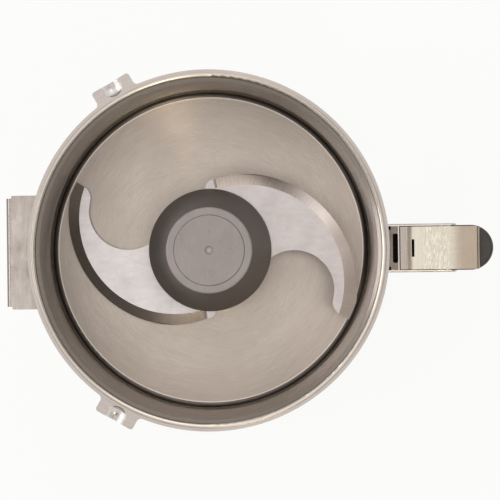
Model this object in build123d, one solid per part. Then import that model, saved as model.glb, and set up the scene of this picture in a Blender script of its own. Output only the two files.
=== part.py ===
from build123d import *
from math import acos, atan2, cos, degrees, hypot, radians, sin, sqrt, tan
import os

# Table-top cutter bowl: a drawn stainless bowl with its handle and latch lever, and a two-blade rotor on
# the bowl's own spindle. Millimetres, +Z up, origin at the centre of the face that the bowl stands on,
# +X towards the handle.

# ---- Driving dimensions -----------------------------------------------------------------------------

# Bowl
rim_height = 158.0            # top of the rim bead above the table
bowl_radius = 112.9           # inside of the wall
sheet = 1.5                   # drawn steel of the bowl
floor_height = 18.0           # top of the floor at the wall
floor_crown = 1.5             # the floor rises this much towards the middle
floor_fillet = 5.0            # inside, between floor and wall
neck_step = 2.3               # the neck is this much wider than the wall, for the lid
seat_depth = 6.0              # lid seat below the top of the bead
bead_bend = 1.7               # rounded over from the neck into the flat top of the bead
bead_edge = 0.4

# Rim ring, under the bead, with the two lid lugs
ring_overhang = 3.7           # beyond the neck
ring_sheet = 2.0
lug_turns = (120, 240)        # degrees from the handle
lug_length = 8.9              # beyond the ring
lug_width = 28.0
lug_corner = 2.0
lug_flare = 3.0
groove_width = 13.7
groove_length = 9.8
groove_depth = 4.5

# Base ring
base_radius = 70.0
base_wall = 4.0
notch_turns = (60, 180, 300)
notch_width = 14.0
notch_height = 7.0

# Chimney and what runs in it
chimney_bore = 14.0           # seat of the bearings
chimney_wall = 2.0
chimney_bottom = 10.0
chimney_depth = 35.0          # its top below the hub's top
chimney_edge = 1.0
chimney_lip = 2.0             # in-turned at the top
chimney_lip_reach = 4.0
chimney_foot_width = 10.0
chimney_foot = 3.0
circlip_thickness = 1.2
circlip_width = 2.8
circlip_gap = 6.0
circlip_groove = 0.8          # how far the groove goes into the chimney wall
bearing_fit = 0.03
bearing_width = 8.0
bearing_race = 2.2            # radial thickness of each race
bearing_shield = 0.6          # the shields are set back this much
spacer_wall = 1.5
seal_height = 6.0
seal_case = 4.5               # radial thickness of the seal's case
seal_lip = 0.8                # height of the lip where it runs on the spindle
seal_lip_drop = 1.5           # the lip's top below the top of the seal

# Spindle and its dog
spindle_radius = 6.0
spindle_waist = 7.5           # thicker between the bearings
spindle_bottom = 2.0
spindle_short = 6.9           # its top below the top of the bush
spindle_edge = 1.0
spindle_flats = 9.5           # across the two driving flats
thrower_radius = 13.0
thrower_thickness = 3.0
dog_radius = 15.0
dog_height = 7.0
dog_slot_width = 6.0
dog_slot_depth = 3.0
dog_pin_radius = 1.25

# Rotor
rotor_floor_gap = 1.0         # above the highest part of the floor
rotor_turn = -0.8             # degrees, where the rotor stands at rest
lower_blade_turn = 180.0      # degrees from the upper blade
carrier_gap = 2.5             # round the chimney
carrier_wall = 5.5
carrier_flange = 4.0
root_radius = 38.0
clamp_thickness = 3.0
clamp_set_in = 1.0            # the clamp ring is this much smaller than the blades' root
spacer_height = 34.5
spacer_radius = 36.0
hub_radius = 42.5             # widest, at the foot of the cone
hub_top_radius = 29.0
hub_depth = 25.0              # hub's top below the top of the rim
hub_wall = 2.5
hub_band = 4.0                # straight part under the cone
hub_foot = 8.0                # thick ring that the screws go into
hub_edge = 1.5
hub_foot_edge = 0.6
boss_wall = 4.0
web_thickness = 5.0
cap_set_in = 5.0              # from the hub's top edge
cap_thickness = 3.0
cap_ledge = 4.0
cap_spigot = 5.0
cap_edge = 0.5
cap_dimple = 3.0
cap_dimple_depth = 0.6
cap_seal_radius = 1.0
bush_wall = 6.0
screw_count = 4
screw_radius = 2.5
screw_head_radius = 4.6
screw_head = 2.2
screw_socket_radius = 1.7
screw_socket = 1.6
screw_bite = 6.0              # how far the blade screws go into the hub's foot

# Blades, in plan about the rotor's axis
blade_thickness = 2.5
sweep_gap = 5.1               # between the upper blade's tip and the wall
lower_sweep_gap = 6.5         # the lower blade clears the floor's fillet too
edge_set_in = 27.1            # the edge's arc is this much smaller than the sweep
edge_centre = (21.5, -27.0)
lower_edge_set_in = 29.5
lower_edge_centre = (22.5, -24.6)
heel_set_in = 11.7            # tighter arc at the heel, tangent to the edge
heel_meet = 70.0              # degrees about the edge's centre, where the two arcs meet
relief_start = 2.7            # where the edge starts at the relief cut, from the axis along X
tip_fall = 26.6               # degrees below X, where the edge ends on the sweep circle
tip_width = 8.3
tip_slant = 148.0             # degrees, the way the tip's end runs back
throat_set_in = 49.3          # the throat's centre from the sweep circle, along X
throat_side = -27.8
throat_radius = 27.9
throat_sweep = 140.0          # degrees of the hooked arc
barb_length = 8.7             # from the throat to the barb behind the tip
barb_set_in = 1.2
shoulder_radius = 5.8         # rounded shoulder between the root and the relief cut
bevel_centre = (25.6, -22.2)
bevel_set_in = 40.2           # the bevel's inner arc is this much smaller than the sweep
edge_land = 0.3               # thickness left along the cutting edge
relief_width = 1.0
relief_length = 5.2
relief_slant = 13.0           # degrees off Y

# Helper handle
helper_width = 76.0
helper_length = 20.6          # beyond the wall
helper_sheet = 2.0
helper_depth = 11.0           # its top face below the top of the rim
helper_drop = 14.0
helper_bend = 3.5             # outside radius
helper_corner = 9.0
helper_corner_lead = 3.5      # the blank's corner starts this far beyond the bend
helper_skirt_corner = 6.0

# Handle bracket: strike plate and two cheeks of one folded sheet
bracket_width = 32.4
bracket_sheet = 1.5
cheek_height = 20.5
cheek_end = 9.3               # beyond the pin
cheek_corner = 8.0
cheek_top_corner = 4.0
slot_lead = 2.1               # beyond the rim ring
slot_width = 3.5
slot_length = 19.6
slot_corner = 1.3
strike_land = 0.9             # beyond the slot
fold_radius = 1.4             # outside, between strike plate and cheeks
fold_relief = 1.3
fold_relief_length = 2.4
fold_relief_lead = 2.5        # before the slot

# Latch lever
lever_width = 28.4
lever_sheet = 1.5
lip_gap = 0.5                 # beyond the strike plate
lip_length = 4.1
joggle = 3.2                  # the lip lies this much below the plate
joggle_bend = 1.0
tab_room = 1.8                # the lid's tab passes between strike plate and lip
lever_window = 1.8
lever_window_length = 11.6
lever_tail = 23.8             # beyond the pin
lever_end_lip = 3.0
lever_bend = 1.9              # outside radius of the turned-down end
ear_half = 5.5                # ears either side of the pin along X
ear_heel = 9.0                # the resting heel, towards the bowl
lever_travel = 8.0            # degrees

# Lever pin and spring
pin_lead = 28.6               # beyond the lip's end
pin_depth = 9.5               # below the strike plate
pin_radius = 2.5
wire = 1.2
coil_radius = 4.0
coil_pitch = 1.15             # of the wire's diameter
coil_turns = 4 + 1 / 3
leg_slope = 30.0              # degrees

# Strap and grip
strap_sheet = 3.0
strap_width = 20.0
strap_depth = 8.0             # top face of the upper leg below the pin
strap_rise = 32.5             # lower leg's underside above the bowl's floor
strap_bend = 8.0
strap_foot = 18.0
grip_lead = 4.0               # beyond the pin
grip_depth = 14.9             # from the finger side to the middle of the rounded side
grip_radius = 15.0            # of the rounded side
grip_top_drop = 4.5           # below the strike plate
grip_over = 6.5               # below the strap's lower leg
grip_edge = 4.0
grip_end_edge = 2.4
ear_room = 2.1                # above the strap the grip leaves the lever's ears this free
grip_screw_inset = 20.0       # from the strap's legs
grip_screw_radius = 2.0
grip_screw_head_radius = 3.8
grip_screw_head = 2.0
grip_screw_length = 22.0
grip_socket_radius = 1.5
grip_socket = 1.4

# Clearances
running = 0.05                # radial, between pieces that turn or slide on each other
lip_clearance = 0.3           # between pieces of different bodies
seat = 0.1                    # round a piece that is slipped into another
over = 1.0                    # how far a cutter runs past what it cuts

# ---- Worked out -------------------------------------------------------------------------------------

wall_radius = bowl_radius + sheet
neck_radius = bowl_radius + neck_step
neck_outside = neck_radius + sheet
ring_radius = neck_outside + ring_overhang
lug_reach = ring_radius + lug_length
ring_top = rim_height - sheet
ring_bottom = ring_top - ring_sheet
seat_height = rim_height - seat_depth
crown_height = floor_height + floor_crown
base_bore = base_radius - base_wall
groove_radius = (groove_width ** 2 / 4 + groove_depth ** 2) / (2 * groove_depth)

clamp_bottom = crown_height + rotor_floor_gap
lower_blade_bottom = clamp_bottom + clamp_thickness
spacer_bottom = lower_blade_bottom + blade_thickness
upper_blade_bottom = spacer_bottom + spacer_height
hub_bottom = upper_blade_bottom + blade_thickness
foot_bottom = hub_bottom + carrier_flange
hub_top = rim_height - hub_depth
spigot_bottom = hub_top - cap_thickness - cap_spigot
web_top = spigot_bottom - seat
web_bottom = web_top - web_thickness

chimney_radius = chimney_bore + chimney_wall
chimney_top = hub_top - chimney_depth
chimney_lip_bore = chimney_bore - chimney_lip_reach
chimney_foot_radius = chimney_radius + chimney_foot_width
bearing_bore = spindle_radius + bearing_fit
seal_top = chimney_top - chimney_lip
upper_bearing_top = seal_top - seal_height
upper_bearing_bottom = upper_bearing_top - bearing_width
circlip_bottom = chimney_bottom + circlip_thickness
lower_bearing_bottom = circlip_bottom + circlip_thickness
lower_bearing_top = lower_bearing_bottom + bearing_width

thrower_bottom = chimney_top + lip_clearance
thrower_top = thrower_bottom + thrower_thickness
spindle_top = web_top - spindle_short
bush_bottom = thrower_top + lip_clearance
bush_radius = spindle_radius + bush_wall
boss_radius = bush_radius + boss_wall

carrier_bore = chimney_radius + carrier_gap
carrier_radius = carrier_bore + carrier_wall
screw_circle = (carrier_radius + spacer_radius) / 2
cap_radius = hub_top_radius - cap_set_in
cap_spigot_radius = cap_radius - cap_ledge

sweep_radius = bowl_radius - sweep_gap
lower_sweep_radius = bowl_radius - lower_sweep_gap
edge_radius = sweep_radius - edge_set_in
lower_edge_radius = sweep_radius - lower_edge_set_in
bevel_radius = sweep_radius - bevel_set_in

helper_reach = wall_radius + helper_length
helper_height = rim_height - helper_depth
helper_bottom = helper_height - helper_drop

bracket_top = ring_bottom
cheek_inside = bracket_width / 2 - bracket_sheet
cheek_bottom = bracket_top - cheek_height
slot_near = ring_radius + slot_lead
slot_far = slot_near + slot_width
strike_reach = slot_far + strike_land
fold_relief_near = slot_near - fold_relief_lead
lip_near = strike_reach + lip_gap
lip_far = lip_near + lip_length
pin_distance = lip_near + pin_lead
pin_height = bracket_top - pin_depth
cheek_reach = pin_distance + cheek_end
lever_reach = pin_distance + lever_tail
lip_bottom = bracket_top + tab_room
lever_top = lip_bottom + lever_sheet + joggle
lever_under = lever_top - lever_sheet
window_near = lip_far + joggle
strap_height = pin_height - strap_depth
strap_bottom = floor_height + strap_rise
strap_start = bowl_radius - sheet
grip_near = pin_distance + grip_lead
grip_step = pin_distance + ear_half + ear_room
grip_centre = grip_near + grip_depth
grip_top = bracket_top - grip_top_drop
grip_bottom = strap_bottom - grip_over
strap_middle = grip_centre - strap_sheet / 2
grip_screw_heights = (strap_bottom + grip_screw_inset, strap_height - grip_screw_inset)


# ---- Helpers ----------------------------------------------------------------------------------------

def turned(*corners):
    """A closed outline of (radius, height) corners turned about Z; a third value rounds its corner."""
    points = [(corner[0], 0, corner[1]) for corner in corners]
    radii = [corner[2] if len(corner) == 3 else 0 for corner in corners]
    return revolve(make_face(FilletPolyline(*points, radius=radii, close=True)), Axis.Z)


def tube(outer, inner, bottom, top):
    """An upright tube, or a disc where the inner radius is 0."""
    ring = Circle(outer) - Circle(inner) if inner else Circle(outer)
    return extrude(Pos(0, 0, bottom) * ring, top - bottom)


def block(x0, x1, half_width, z0, z1):
    """A box from x0 to x1 and z0 to z1, centred across Y."""
    middle = Pos((x0 + x1) / 2, 0, (z0 + z1) / 2)
    return middle * Box(x1 - x0, 2 * half_width, z1 - z0)


def side_plate(outline, near, far):
    """An outline of (x, z) corners made solid from y = near to y = far."""
    face = make_face(Polyline(*[(x, near, z) for x, z in outline], close=True))
    return extrude(face, amount=far - near, dir=(0, 1, 0))


def cross_pin(x, z, radius, half_length):
    """A round bar along Y."""
    return Pos(x, 0, z) * Rot(90, 0, 0) * Cylinder(radius, 2 * half_length)


def floor_under(radius):
    """Height of the floor's underside at a radius."""
    rise = floor_crown * (bowl_radius - radius) / (bowl_radius - chimney_radius)
    return floor_height + rise - sheet


def polar(centre, radius, turn):
    """The point at a radius and direction from a centre."""
    return (centre[0] + radius * cos(radians(turn)), centre[1] + radius * sin(radians(turn)))


def around(shape, count):
    """Copies of a shape evenly about Z."""
    return [Rot(0, 0, 360 / count * turn) * shape for turn in range(count)]


# ---- Bowl -------------------------------------------------------------------------------------------

def bowl_shell():
    """Floor, wall, joggled neck that seats the lid, and the rolled bead, in one drawn sheet."""
    miter = sheet * tan(radians(22.5))
    return turned(
        (chimney_radius, crown_height),
        (bowl_radius, floor_height, floor_fillet),
        (bowl_radius, seat_height - neck_step),
        (neck_radius, seat_height),
        (neck_radius, rim_height, bead_bend),
        (neck_outside + sheet, rim_height, bead_edge),
        (neck_outside + sheet, ring_top),
        (neck_outside, ring_top),
        (neck_outside, seat_height - miter),
        (wall_radius, seat_height - neck_step - miter),
        (wall_radius, floor_under(wall_radius), floor_fillet + sheet),
        (chimney_radius, floor_under(chimney_radius)),
    )


def rim_ring():
    """Flat ring under the bead, with two lugs that have a groove pressed down into each."""
    lug = Pos(lug_reach / 2, 0) * Rectangle(lug_reach, lug_width)
    plan = Circle(ring_radius) + [Rot(0, 0, turn) * lug for turn in lug_turns]
    tips = plan.vertices().filter_by(lambda v: hypot(v.X, v.Y) > lug_reach)
    plan = fillet(tips, lug_corner)
    roots = plan.vertices().filter_by(lambda v: abs(hypot(v.X, v.Y) - ring_radius) < 0.01 and v.X < 0)
    plan = fillet(roots, lug_flare) - Circle(neck_outside)
    ring = extrude(Pos(0, 0, ring_bottom) * plan, ring_sheet)
    skin = pressed_groove(groove_radius + ring_sheet) & block(0, lug_reach, lug_width, 0, ring_top)
    hollow = pressed_groove(groove_radius)
    for turn in lug_turns:
        ring = ring + Rot(0, 0, turn) * skin
    for turn in lug_turns:
        ring = ring - Rot(0, 0, turn) * hollow
    return ring


def pressed_groove(radius):
    """The round-ended form of the groove, open outward along X, before it is set at a lug."""
    near = lug_reach - groove_length + groove_width / 2
    height = ring_top + groove_radius - groove_depth
    run = 2 * lug_width
    bar = Pos(near + run / 2, 0, height) * Rot(0, 90, 0) * Cylinder(radius, run)
    return Pos(near, 0, height) * Sphere(radius) + bar


def base_ring():
    """Ring that the bowl stands on, scribed to the floor, with bayonet notches in its lower edge."""
    ring = turned(
        (base_bore, 0),
        (base_radius, 0),
        (base_radius, floor_under(base_radius)),
        (base_bore, floor_under(base_bore)),
    )
    notch = block(base_bore - over, base_radius + over, notch_width / 2, -over, notch_height)
    for turn in notch_turns:
        ring = ring - Rot(0, 0, turn) * notch
    return ring


def chimney_tube():
    """Upright tube through the floor: bearing seat, circlip groove, in-turned lip and welded foot."""
    return turned(
        (chimney_bore, chimney_bottom),
        (chimney_radius, chimney_bottom),
        (chimney_radius, floor_under(chimney_foot_radius) - chimney_foot),
        (chimney_foot_radius, floor_under(chimney_foot_radius) - chimney_foot),
        (chimney_foot_radius, floor_under(chimney_foot_radius)),
        (chimney_radius, floor_under(chimney_radius)),
        (chimney_radius, chimney_top, chimney_edge),
        (chimney_lip_bore, chimney_top),
        (chimney_lip_bore, seal_top),
        (chimney_bore, seal_top),
        (chimney_bore, lower_bearing_bottom),
        (chimney_bore + circlip_groove, lower_bearing_bottom),
        (chimney_bore + circlip_groove, circlip_bottom),
        (chimney_bore, circlip_bottom),
    )


def bearing(bottom):
    """Sealed ball bearing, with the shields set back between its races."""
    top = bottom + bearing_width
    return turned(
        (bearing_bore, bottom),
        (bearing_bore + bearing_race, bottom),
        (bearing_bore + bearing_race, bottom + bearing_shield),
        (chimney_bore - bearing_race, bottom + bearing_shield),
        (chimney_bore - bearing_race, bottom),
        (chimney_bore, bottom),
        (chimney_bore, top),
        (chimney_bore - bearing_race, top),
        (chimney_bore - bearing_race, top - bearing_shield),
        (bearing_bore + bearing_race, top - bearing_shield),
        (bearing_bore + bearing_race, top),
        (bearing_bore, top),
    )


def bearing_spacer():
    """Tube that holds the two outer races apart."""
    return tube(chimney_bore - seat, chimney_bore - spacer_wall, lower_bearing_top, upper_bearing_bottom)


def bearing_circlip():
    """Internal circlip under the lower bearing, with the gap for its two eyes."""
    outside = chimney_bore + circlip_groove
    ring = tube(outside, outside - circlip_width, circlip_bottom, lower_bearing_bottom)
    gap = block(0, outside + over, circlip_gap / 2, circlip_bottom - over, lower_bearing_bottom + over)
    return ring - gap


def lip_seal():
    """Rubber seal with a lip that leans on the spindle side."""
    return turned(
        (chimney_bore, upper_bearing_top),
        (chimney_bore, seal_top),
        (chimney_bore - seal_case + seal_lip, seal_top),
        (spindle_radius + running, seal_top - seal_lip_drop),
        (spindle_radius + running, seal_top - seal_lip_drop - seal_lip),
        (chimney_bore - seal_case, seal_top - seal_lip_drop - seal_lip / 2),
        (chimney_bore - seal_case, upper_bearing_top),
    )


# ---- Spindle ----------------------------------------------------------------------------------------

def spindle():
    """Shaft with a waist between the bearings, a thrower disc over the seal and two driving flats."""
    shaft = turned(
        (0, spindle_bottom),
        (spindle_radius, spindle_bottom),
        (spindle_radius, lower_bearing_top + lip_clearance),
        (spindle_waist, lower_bearing_top + lip_clearance),
        (spindle_waist, upper_bearing_bottom - lip_clearance),
        (spindle_radius, upper_bearing_bottom - lip_clearance),
        (spindle_radius, thrower_bottom),
        (thrower_radius, thrower_bottom),
        (thrower_radius, thrower_top),
        (spindle_radius, thrower_top),
        (spindle_radius, spindle_top, spindle_edge),
        (0, spindle_top),
    )
    slab = block(spindle_flats / 2, thrower_radius, thrower_radius, thrower_top, spindle_top + over)
    shaft = shaft - slab - Rot(0, 0, 180) * slab
    return shaft - dog_pin()


def dog_height_middle():
    """Height of the cross pin, in the solid part of the dog above its slot."""
    return spindle_bottom + dog_slot_depth + (dog_height - dog_slot_depth) / 2


def drive_dog():
    """Coupling at the foot of the spindle, slotted across its underside for the motor's tongue."""
    dog = tube(dog_radius, spindle_radius, spindle_bottom, spindle_bottom + dog_height)
    slot = Box(2 * (dog_radius + over), dog_slot_width, 2 * dog_slot_depth)
    return dog - Pos(0, 0, spindle_bottom) * slot - dog_pin()


def dog_pin():
    """Cross pin through dog and spindle."""
    return cross_pin(0, dog_height_middle(), dog_pin_radius, dog_radius)


# ---- Rotor ------------------------------------------------------------------------------------------

def screw_holes(radius, bottom, top):
    """The circle of upright holes for the blade screws."""
    return around(Pos(screw_circle, 0, 0) * tube(radius, 0, bottom, top), screw_count)


def blade_screws():
    """Long countersunk screws, from the clamp ring up into the hub's foot."""
    top = foot_bottom + screw_bite
    screw = turned(
        (0, clamp_bottom),
        (screw_head_radius, clamp_bottom),
        (screw_radius, clamp_bottom + screw_head),
        (screw_radius, top),
        (0, top),
    )
    socket = extrude(Pos(0, 0, clamp_bottom) * RegularPolygon(screw_socket_radius, 6), screw_socket)
    return around(Pos(screw_circle, 0, 0) * (screw - socket), screw_count)


def countersinks():
    """What the blade screws take out of the clamp ring."""
    sink = turned(
        (0, clamp_bottom),
        (screw_head_radius, clamp_bottom),
        (screw_radius, clamp_bottom + screw_head),
        (screw_radius, lower_blade_bottom),
        (0, lower_blade_bottom),
    )
    return around(Pos(screw_circle, 0, 0) * sink, screw_count)


def blade_clamp_ring():
    """Steel ring that draws the blades up against the carrier."""
    ring = tube(root_radius - clamp_set_in, carrier_bore, clamp_bottom, lower_blade_bottom)
    return ring - countersinks()


def blade_carrier():
    """Sleeve that both blades slip over, with the flange that the upper blade and the hub lie on."""
    sleeve = turned(
        (carrier_bore, lower_blade_bottom),
        (carrier_radius, lower_blade_bottom),
        (carrier_radius, hub_bottom),
        (hub_radius - hub_wall, hub_bottom),
        (hub_radius - hub_wall, foot_bottom),
        (carrier_bore, foot_bottom),
    )
    return sleeve - screw_holes(screw_radius, hub_bottom, foot_bottom)


def blade_spacer():
    """Collar that sets the two blades apart."""
    collar = tube(spacer_radius, carrier_radius, spacer_bottom, upper_blade_bottom)
    return collar - screw_holes(screw_radius, spacer_bottom, upper_blade_bottom)


def direction(point):
    """Direction of a point from the axis, in degrees."""
    return degrees(atan2(point[1], point[0]))


def shoulder_turn(centre, radius, sweep):
    """Direction, from the edge's centre, at which the edge runs out on the sweep circle."""
    reach = hypot(*centre)
    opening = acos((sweep ** 2 - reach ** 2 - radius ** 2) / (2 * reach * radius))
    return direction(centre) + degrees(opening)


def heel_arc(centre, radius):
    """Centre and radius of the tighter arc at the heel, which meets the edge's arc tangent."""
    return polar(centre, heel_set_in, heel_meet), radius - heel_set_in


def on_heel(centre, radius, x):
    """The point of the heel's arc at a distance from the axis along X."""
    heel_centre, heel_radius = heel_arc(centre, radius)
    return polar(heel_centre, heel_radius, degrees(acos((x - heel_centre[0]) / heel_radius)))


def blade_plan(centre, radius, sweep):
    """Plan of one sickle blade: convex edge, tip on the sweep circle, hooked throat, round root."""
    heel_centre, heel_radius = heel_arc(centre, radius)
    heel = on_heel(centre, radius, relief_start - relief_width / 2)
    heel_turn = direction((heel[0] - heel_centre[0], heel[1] - heel_centre[1]))
    heel_middle = polar(heel_centre, heel_radius, (heel_meet + heel_turn) / 2)
    meet = polar(centre, radius, heel_meet)
    runs_out = shoulder_turn(centre, radius, sweep)
    edge_middle = polar(centre, radius, (heel_meet + runs_out) / 2)
    shoulder = polar(centre, radius, runs_out)
    tip = polar((0, 0), sweep, -tip_fall)
    tip_middle = polar((0, 0), sweep, (direction(shoulder) - tip_fall) / 2)
    point = polar(tip, tip_width, tip_slant)
    throat_centre = (sweep_radius - throat_set_in, throat_side)
    throat_start = polar(throat_centre, throat_radius, 0)
    throat_middle = polar(throat_centre, throat_radius, throat_sweep / 2)
    throat_end = polar(throat_centre, throat_radius, throat_sweep)
    barb = (throat_start[0] - barb_set_in, throat_start[1] - barb_length)
    barb_hollow = (barb[0] + (point[0] - barb[0]) / 4, (barb[1] + point[1]) / 2)
    root = (0, root_radius - clamp_set_in)
    rounding = (heel[0], heel[1] - shoulder_radius)
    outline = [
        Line(root, polar(rounding, shoulder_radius, 180)),
        ThreePointArc(polar(rounding, shoulder_radius, 180), polar(rounding, shoulder_radius, 135), heel),
        ThreePointArc(heel, heel_middle, meet),
        ThreePointArc(meet, edge_middle, shoulder),
        ThreePointArc(shoulder, tip_middle, tip),
        Line(tip, point),
        ThreePointArc(point, barb_hollow, barb),
        Line(barb, throat_start),
        ThreePointArc(throat_start, throat_middle, throat_end),
        Line(throat_end, (0, 0)),
        Line((0, 0), root),
    ]
    return make_face(outline) + Circle(root_radius)


def clockwise_of(point, turn):
    """Everything clockwise of an upright plane through a point in plan."""
    size = 4 * bowl_radius
    return Pos(*point, 0) * Rot(0, 0, turn) * Pos(0, -size / 2, 0) * Box(size, size, size)


def ground_off(centre, radius):
    """What grinding takes off outside the slope from an arc of the edge up to the bevel's inner arc."""
    low = Pos(*centre, edge_land) * Circle(radius)
    high = Pos(*bevel_centre, blade_thickness) * Circle(bevel_radius)
    over_flat = Pos(*bevel_centre, 0) * tube(bevel_radius, 0, blade_thickness, blade_thickness + over)
    above = tube(2 * bowl_radius, 0, edge_land, blade_thickness + over)
    return above - over_flat - loft([low, high])


def blade(bottom, turn, centre, radius, sweep):
    """One ground blade: a broad bevel on top along the convex edge, from the relief cut to the tip."""
    relief_mouth = on_heel(centre, radius, relief_start)
    relief = Pos(*relief_mouth) * Rot(0, 0, relief_slant) * Rectangle(relief_width, 2 * relief_length)
    plan = blade_plan(centre, radius, sweep) - Circle(carrier_radius) - relief
    body = extrude(plan, blade_thickness)
    meet = polar(centre, radius, heel_meet)
    bevel_meet = polar(bevel_centre, bevel_radius, heel_meet)
    meet_turn = direction((meet[0] - bevel_meet[0], meet[1] - bevel_meet[1]))
    edge_side = clockwise_of(meet, meet_turn)
    past_relief = clockwise_of(relief_mouth, 90 + relief_slant)
    main_bevel = ground_off(centre, radius) & edge_side
    heel_bevel = (ground_off(*heel_arc(centre, radius)) - edge_side) & past_relief
    body = body - main_bevel - heel_bevel - screw_holes(screw_radius, 0, blade_thickness)
    return Pos(0, 0, bottom) * Rot(0, 0, turn) * body


def rotor_hub():
    """Tall hollow cone with a screwed foot, a web and boss for the bush, and the cap's seat."""
    slope = (hub_radius - hub_top_radius) / (hub_top - hub_bottom - hub_band)
    foot_top = foot_bottom + hub_foot
    inside_foot = hub_radius - slope * (foot_top - hub_bottom - hub_band) - hub_wall
    inside_web = hub_radius - slope * (web_bottom - hub_bottom - hub_band) - hub_wall
    hub = turned(
        (hub_radius, hub_bottom, hub_foot_edge),
        (hub_radius, hub_bottom + hub_band),
        (hub_top_radius, hub_top, hub_edge),
        (cap_radius, hub_top),
        (cap_radius, hub_top - cap_thickness),
        (cap_spigot_radius, hub_top - cap_thickness),
        (cap_spigot_radius, web_top),
        (bush_radius, web_top),
        (bush_radius, bush_bottom),
        (boss_radius, bush_bottom),
        (boss_radius, web_bottom),
        (inside_web, web_bottom),
        (inside_foot, foot_top),
        (carrier_radius, foot_top),
        (carrier_radius, foot_bottom),
        (hub_radius - hub_wall, foot_bottom),
        (hub_radius - hub_wall, hub_bottom),
    )
    return hub - screw_holes(screw_radius, foot_bottom, foot_bottom + screw_bite)


def hub_cap():
    """Disc in the hub's top, with a centre dimple and a spigot that holds its seal."""
    groove = hub_top - cap_thickness - cap_spigot / 2
    cap = turned(
        (0, spigot_bottom),
        (cap_spigot_radius - seat, spigot_bottom),
        (cap_spigot_radius - seat, groove - cap_seal_radius),
        (cap_spigot_radius - 2 * cap_seal_radius, groove - cap_seal_radius),
        (cap_spigot_radius - 2 * cap_seal_radius, groove + cap_seal_radius),
        (cap_spigot_radius - seat, groove + cap_seal_radius),
        (cap_spigot_radius - seat, hub_top - cap_thickness),
        (cap_radius - 2 * seat, hub_top - cap_thickness),
        (cap_radius - 2 * seat, hub_top, cap_edge),
        (cap_dimple, hub_top),
        (cap_dimple - cap_dimple_depth, hub_top - cap_dimple_depth),
        (0, hub_top - cap_dimple_depth),
    )
    return cap


def hub_seal():
    """O-ring in the cap's groove."""
    height = hub_top - cap_thickness - cap_spigot / 2
    ring = Pos(cap_spigot_radius - cap_seal_radius, 0, height) * Rot(90, 0, 0) * Circle(cap_seal_radius)
    return revolve(ring, Axis.Z)


def drive_bush():
    """Bush in the hub, bored to slide over the spindle's two flats."""
    bush = tube(bush_radius, 0, bush_bottom, web_top)
    bore = tube(spindle_radius + running, 0, bush_bottom - over, web_top + over)
    half_flats = spindle_flats / 2 + running
    keyed = bore & block(-half_flats, half_flats, bush_radius, bush_bottom - over, web_top + over)
    return bush - keyed


# ---- Helper handle ----------------------------------------------------------------------------------

def helper_handle():
    """Bent plate opposite the handle, scribed to the wall, its outer edge turned down."""
    inner_bend = helper_bend - helper_sheet
    start = -strap_start
    section = FilletPolyline(
        (start, 0, helper_height),
        (-helper_reach, 0, helper_height),
        (-helper_reach, 0, helper_bottom),
        (-helper_reach + helper_sheet, 0, helper_bottom),
        (-helper_reach + helper_sheet, 0, helper_height - helper_sheet),
        (start, 0, helper_height - helper_sheet),
        radius=[0, helper_bend, 0, 0, inner_bend, 0],
        close=True,
    )
    plate = extrude(make_face(section), helper_width / 2, both=True)
    blank_length = 2 * (helper_reach + helper_corner_lead)
    blank = extrude(RectangleRounded(blank_length, helper_width, helper_corner), rim_height)
    corner_rest = helper_corner - helper_corner_lead
    skirt_width = helper_width - 2 * (helper_corner - sqrt(helper_corner ** 2 - corner_rest ** 2))
    skirt = Pos(0, helper_height) * RectangleRounded(skirt_width, 2 * helper_drop, helper_skirt_corner)
    front = extrude(Plane.YZ * skirt, -helper_reach)
    flat = block(-helper_reach + helper_bend, 0, helper_width, helper_bottom, rim_height)
    return (plate & blank & (front + flat)) - bowl_outside()


# ---- Handle -----------------------------------------------------------------------------------------

def bowl_outside():
    """The bowl's outside as a solid, to scribe what is welded to it."""
    miter = sheet * tan(radians(22.5))
    return turned(
        (0, floor_height),
        (wall_radius, floor_height),
        (wall_radius, seat_height - neck_step - miter),
        (neck_outside, seat_height - miter),
        (neck_outside, rim_height),
        (0, rim_height),
    )


def handle_bracket():
    """Strike plate under the rim ring with the slot for the lid's peg, and two cheeks folded down."""
    half = bracket_width / 2
    outline = FilletPolyline(
        (bowl_radius, 0, cheek_bottom),
        (cheek_reach, 0, cheek_bottom),
        (cheek_reach, 0, bracket_top),
        (bowl_radius, 0, bracket_top),
        radius=[0, cheek_corner, cheek_top_corner, 0],
        close=True,
    )
    channel = extrude(make_face(outline), half, both=True)
    channel = fillet(channel.edges().filter_by(Axis.X).group_by(Axis.Z)[-1], fold_radius)
    channel = channel - block(0, strike_reach, cheek_inside, 0, bracket_top - bracket_sheet)
    channel = channel - block(strike_reach, cheek_reach + over, cheek_inside, 0, rim_height)
    slot = RectangleRounded(slot_width, slot_length, slot_corner)
    slot = Pos(slot_near + slot_width / 2, 0, bracket_top) * slot
    channel = channel - extrude(slot, 2 * bracket_sheet, both=True)
    relief = Box(fold_relief, fold_relief_length, 3 * bracket_sheet)
    relief_side = cheek_inside - fold_relief_length / 2
    for side in (-relief_side, relief_side):
        channel = channel - Pos(fold_relief_near + fold_relief / 2, side, bracket_top) * relief
    return channel - bowl_outside() - cross_pin(pin_distance, pin_height, pin_radius, half)


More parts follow.
